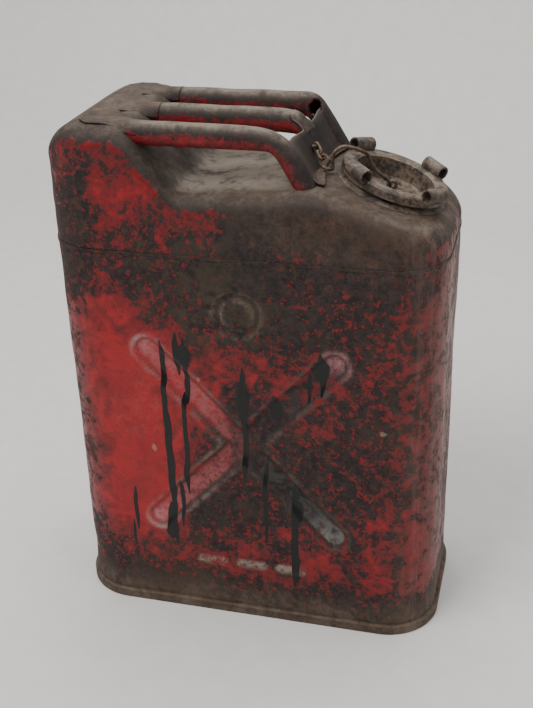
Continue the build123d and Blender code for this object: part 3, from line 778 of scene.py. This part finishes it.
def make_stage():
    """Pale floor that bends up into a backdrop."""
    s = Shader("pale_floor")
    fine = s.noise(40, 5, 0.5)
    floor_material = s.finish(s.mix(fine, (226, 224, 219), (214, 211, 205)), 0.75, fine, 0.1, 0.3 * MM)
    reach, rise, bend, count = 3.0, 2.6, 0.6, 14
    profile = [(-reach, 0.0)]
    back = 1.6
    for k in range(count + 1):
        a = math.pi / 2 * k / count
        profile.append((back - bend + bend * math.sin(a), bend - bend * math.cos(a)))
    profile.append((back, rise))
    verts = [(side * reach, y, z) for y, z in profile for side in (-1, 1)]
    faces = [(2 * k, 2 * k + 1, 2 * k + 3, 2 * k + 2) for k in range(len(profile) - 1)]
    mesh = bpy.data.meshes.new("floor")
    mesh.from_pydata(verts, [], faces)
    mesh.shade_smooth()
    floor = bpy.data.objects.new("floor", mesh)
    floor.data.materials.append(floor_material)
    bpy.context.scene.collection.objects.link(floor)


def make_light(name, place, target, size, power, tint):
    """Rectangular studio light at place, turned to target."""
    data = bpy.data.lights.new(name, "AREA")
    data.shape, data.size, data.size_y, data.energy, data.color = "RECTANGLE", size[0], size[1], power, tint
    light = bpy.data.objects.new(name, data)
    light.location = place
    light.rotation_mode = "QUATERNION"
    light.rotation_quaternion = (Vector(target) - Vector(place)).to_track_quat("-Z", "Y")
    bpy.context.scene.collection.objects.link(light)


def make_lights():
    """Large soft lights over the left and the top, a weak fill and an even surround."""
    target = (0, 0, 0.25)
    make_light("key", (-1.0, -1.25, 2.3), target, (1.5, 1.2), 56, (1.0, 0.985, 0.96))
    make_light("fill", (1.9, -1.3, 1.3), target, (1.6, 1.6), 12, (0.94, 0.97, 1.0))
    make_light("top", (0.1, 0.4, 2.4), target, (1.8, 1.4), 34, (0.97, 0.985, 1.0))
    world = bpy.data.worlds.new("studio")
    world.use_nodes = True
    world.node_tree.nodes["Background"].inputs[0].default_value = (0.86, 0.90, 0.95, 1)
    world.node_tree.nodes["Background"].inputs[1].default_value = 0.34
    bpy.context.scene.world = world


def make_camera():
    """Camera at the height and angle of an adult looking down at the can."""
    yaw, pitch, roll = math.radians(-15.600), math.radians(27.435), math.radians(1.895)
    ahead = Vector((math.sin(yaw) * math.cos(pitch), math.cos(yaw) * math.cos(pitch), -math.sin(pitch)))
    right = Vector((math.cos(yaw), -math.sin(yaw), 0))
    down = ahead.cross(right)
    level_right = right * math.cos(roll) + down * math.sin(roll)
    level_down = -right * math.sin(roll) + down * math.cos(roll)
    turn = Matrix((level_right, -level_down, -ahead)).transposed()
    data = bpy.data.cameras.new("camera")
    data.lens, data.sensor_width = 56.39, 36
    camera = bpy.data.objects.new("camera", data)
    camera.matrix_world = Matrix.Translation((0.24666, -0.87555, 0.71029)) @ turn.to_4x4()
    bpy.context.scene.collection.objects.link(camera)
    bpy.context.scene.camera = camera


make_camera()
make_lights()
make_stage()

body_paint = painted("body_paint", pressed=True)
top_paint = painted("top_paint")
grip_paint = painted("grip_paint", extra_wear=0.05, dust_up=0.8, flank_red=0.42)
web_paint = painted("web_paint", extra_wear=0.14, dust_up=0.8)
weld_paint = painted("weld_paint", extra_wear=0.12)
cap_steel = bare_steel("cap_steel", red=0.5)
neck_steel = bare_steel("neck_steel", red=0.1, base=(104, 92, 80))
wire_steel = bare_steel("wire_steel", base=(104, 82, 64), dark=(48, 38, 31))

make_body(body_paint)
make_top(top_paint)
make_grip("left_grip", -GRIP_Y, LEFT_CROWN, LEFT_UNDER, "handle_bar_left", grip_paint)
make_grip("middle_grip", 0, MIDDLE_CROWN, MIDDLE_UNDER, "handle_bar_centre", grip_paint, hollow=True)
make_grip(
    "right_grip", GRIP_Y, RIGHT_CROWN, RIGHT_UNDER, "handle_bar_right", grip_paint,
    hollow=True, hole=FLANK_HOLE,
)
make_web(web_paint)
make_rear_plate(web_paint)
paint_nodes(["bottom_pan", "bottom_chime", "body_side_weld", "shoulder_weld"], weld_paint)
paint_nodes(["filler_neck", "neck_weld"], neck_steel)
paint_nodes(["cap_cup", "cap_lug_plate", "cap_swivel_eye", "cap_swivel_washer"], cap_steel)
paint_nodes(["retainer_wire", "chain_staple"], wire_steel)
paint_nodes(["chain_link_upper", "chain_link_lower", "chain_ring"], wire_steel)
paint_nodes(["cap_gasket"], rubber("gasket_rubber"))
